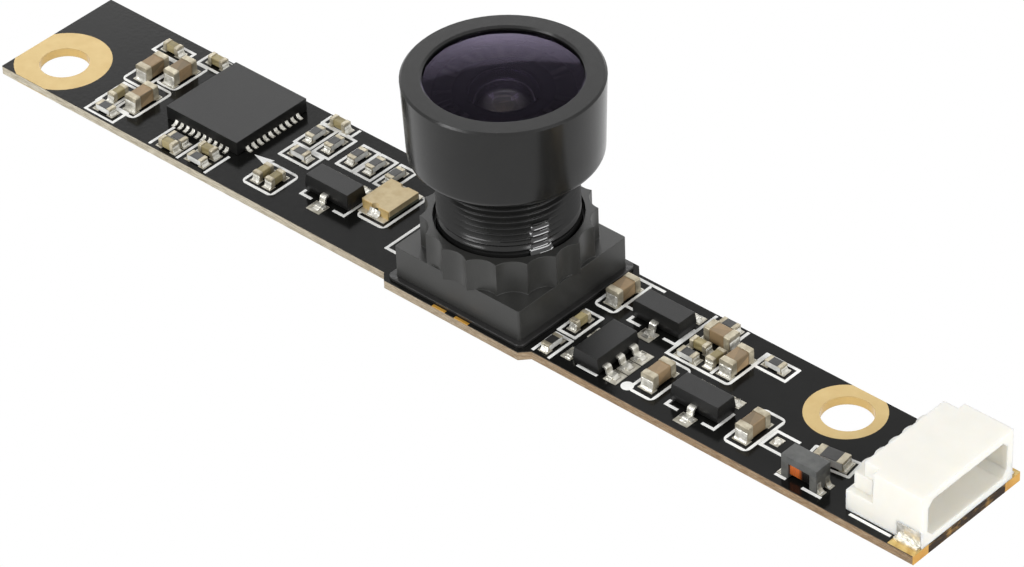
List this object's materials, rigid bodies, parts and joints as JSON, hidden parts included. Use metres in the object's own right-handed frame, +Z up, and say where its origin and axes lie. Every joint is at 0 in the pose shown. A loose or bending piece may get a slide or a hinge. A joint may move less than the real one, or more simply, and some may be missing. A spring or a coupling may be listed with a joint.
{
  "type": "camera module",
  "caption": "Slim fixed-focus camera module: lens barrel in a fluted holder on a narrow circuit board with a side-entry cable connector and plated screw holes.",
  "frame": {"origin": "middle of the board's length and width, on its underside", "axes": "+X along the board towards the cable connector, +Z up along the lens axis, +Y across the board towards the hole by the connector"},
  "size_m": [0.06, 0.0098, 0.0125],
  "materials": {
    "board_mask": "satin",
    "gold_plating": "satin",
    "legend_ink": "matt",
    "solder_tin": "satin",
    "moulded_black": "matt",
    "holder_plastic": "satin",
    "barrel_plastic": "satin",
    "sealant": "gloss",
    "lens_glass": "polished",
    "filter_glass": "polished",
    "sensor_package": "matt",
    "baffle_black": "matt",
    "connector_nylon": "satin",
    "capacitor_ceramic": "matt",
    "pale_ceramic": "matt",
    "substrate": "matt",
    "alumina": "matt",
    "resistor_coat": "gloss",
    "ferrite": "matt",
    "copper_wire": "gloss"
  },
  "bodies": {
    "root": {"circuit_board": "board_mask", "mounting_rings": "gold_plating", "edge_pads": "gold_plating", "silkscreen": "legend_ink", "solder_lands": "gold_plating", "solder_fillets": "solder_tin", "controller_chip": "moulded_black", "controller_leads": "solder_tin", "lens_holder": "holder_plastic", "holder_sealant": "sealant", "image_sensor": "sensor_package", "sensor_glass": "filter_glass", "infrared_filter": "filter_glass", "lens_barrel": "barrel_plastic", "front_lens": "lens_glass", "light_baffle": "baffle_black", "second_lens": "lens_glass", "aperture_stop": "baffle_black", "third_lens": "lens_glass", "lens_spacer": "baffle_black", "rear_lens": "lens_glass", "rear_retainer": "baffle_black", "thread_adhesive": "sealant", "connector_housing": "connector_nylon", "connector_contacts": "gold_plating", "connector_tabs": "solder_tin", "large_capacitors": "capacitor_ceramic", "large_capacitor_ends": "solder_tin", "small_capacitors": "capacitor_ceramic", "small_capacitor_ends": "solder_tin", "resonator_cover": "pale_ceramic", "resonator_base": "substrate", "resonator_ends": "gold_plating", "resistors": "alumina", "resistor_coats": "resistor_coat", "resistor_ends": "solder_tin", "transistor_bodies": "moulded_black", "transistor_leads": "solder_tin", "regulator_body": "moulded_black", "regulator_leads": "solder_tin", "choke_core": "ferrite", "choke_plate": "ferrite", "choke_winding": "copper_wire", "choke_ends": "solder_tin"}
  },
  "joints": []
}
